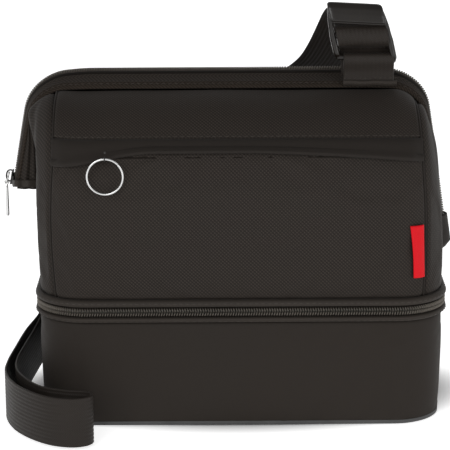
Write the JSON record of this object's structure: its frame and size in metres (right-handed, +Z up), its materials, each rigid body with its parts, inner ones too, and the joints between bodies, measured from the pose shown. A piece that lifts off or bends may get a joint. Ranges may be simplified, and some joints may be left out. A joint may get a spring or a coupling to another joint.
{
  "type": "insulated cooler bag",
  "caption": "Black soft cooler bag with a zip-off lower box, doctor-bag zip mouth, front pocket with a pull ring, and a shoulder strap on a ladder-lock buckle.",
  "frame": {"origin": "centre of the flat bottom face that the bag stands on", "axes": "+Z up, +X to the right as seen from the front, -Y out of the front panel"},
  "size_m": [0.321, 0.2222, 0.288],
  "materials": {
    "nylon": "black ballistic nylon, fine twill",
    "zip": "black nylon coil and tape",
    "webbing": "black ribbed webbing",
    "foam": "closed-cell foam",
    "liner": "wipe-clean silver liner",
    "board": "stiff board",
    "label": "red woven tape",
    "buckle": "black acetal",
    "pull_rubber": "black moulded pull",
    "slider_metal": "black lacquered zinc",
    "bright_metal": "bright nickel"
  },
  "bodies": {
    "root": {"lower_shell": "nylon", "base_board": "board", "lower_foam": "foam", "lower_liner": "liner", "lower_binding": "nylon", "lower_zip_row": "zip"},
    "upper": {"divider_cover": "nylon", "divider_foam": "foam", "upper_liner": "liner", "upper_foam": "foam", "upper_binding": "nylon", "upper_zip_row": "zip", "hinge_strip": "nylon", "front_panel": "nylon", "rear_panel": "nylon", "gusset_left": "nylon", "gusset_right": "nylon", "pocket_panel": "nylon", "pocket_zip_tape": "zip", "pocket_zip_coil": "zip", "pocket_flap": "nylon", "top_front_panel": "nylon", "top_rear_panel": "nylon", "gusset_fold_left": "nylon", "gusset_fold_right": "nylon", "zip_tail_left": "zip", "tail_band_left": "nylon", "zip_leg_right": "zip", "zip_end_tab": "nylon", "label_tab": "label", "strap_loop": "webbing", "strap_patch_rear": "webbing"},
    "mouth_front": {"mouth_band_front": "nylon", "mouth_tape_front": "zip", "mouth_coil_front": "zip", "strap_hem": "webbing", "strap_tab": "webbing", "strap_over": "webbing"},
    "mouth_rear": {"mouth_band_rear": "nylon", "mouth_tape_rear": "zip", "mouth_coil_rear": "zip"},
    "waist_slider": {"lower_slider": "slider_metal"},
    "waist_pull": {"lower_pull": "pull_rubber"},
    "pocket_slider": {"pocket_slider": "slider_metal"},
    "key_ring": {"pocket_ring": "bright_metal"},
    "mouth_slider": {"top_slider": "slider_metal"},
    "pull_link": {"top_pull_link": "bright_metal"},
    "pull_bar": {"top_pull_bar": "bright_metal"},
    "strap_buckle": {"buckle": "buckle"}
  },
  "joints": [
    {"name": "compartment_hinge", "type": "hinge", "parent": "root", "child": "upper", "pos_m": [0, 0.0834, 0.0837], "axis": [-1, 0, 0], "range_deg": [0, 100], "deforming": ["hinge_strip", "strap_loop"]},
    {"name": "mouth_front_hinge", "type": "hinge", "parent": "upper", "child": "mouth_front", "pos_m": [0, 0, 0.18], "axis": [1, 0, 0], "range_deg": [0, 40], "deforming": ["top_front_panel", "gusset_fold_left", "gusset_fold_right", "strap_over", "strap_loop"]},
    {"name": "mouth_rear_hinge", "type": "hinge", "parent": "upper", "child": "mouth_rear", "pos_m": [0, 0, 0.18], "axis": [-1, 0, 0], "range_deg": [0, 40], "deforming": ["top_rear_panel", "gusset_fold_left", "gusset_fold_right"]},
    {"name": "buckle_tilt", "type": "hinge", "parent": "mouth_front", "child": "strap_buckle", "pos_m": [0, -0.0229, 0.2485], "axis": [1, 0, 0], "range_deg": [-12, 12], "deforming": ["strap_tab", "strap_over"]},
    {"name": "mouth_zip_slide", "type": "slide", "parent": "upper", "child": "mouth_slider", "axis": [0.1736, 0, 0.9848], "range_m": [0, 0.012]},
    {"name": "pull_link_swing", "type": "hinge", "parent": "mouth_slider", "child": "pull_link", "pos_m": [-0.16415, 0, 0.163], "axis": [0, 1, 0], "range_deg": [0, 90]},
    {"name": "pull_bar_swing", "type": "hinge", "parent": "pull_link", "child": "pull_bar", "pos_m": [-0.16605, 0, 0.1562], "axis": [0, 1, 0], "range_deg": [0, 80]},
    {"name": "pocket_zip_slide", "type": "slide", "parent": "upper", "child": "pocket_slider", "axis": [1, 0, 0], "range_m": [0, 0.2]},
    {"name": "ring_swing", "type": "hinge", "parent": "pocket_slider", "child": "key_ring", "pos_m": [-0.09, -0.083, 0.19], "axis": [-1, 0, 0], "range_deg": [0, 120]},
    {"name": "waist_zip_slide", "type": "slide", "parent": "root", "child": "waist_slider", "axis": [0, -1, 0], "range_m": [0, 0.074]},
    {"name": "waist_pull_swing", "type": "hinge", "parent": "waist_slider", "child": "waist_pull", "pos_m": [0.1456, 0.036, 0.0837], "axis": [0, 0, -1], "range_deg": [0, 170]}
  ]
}
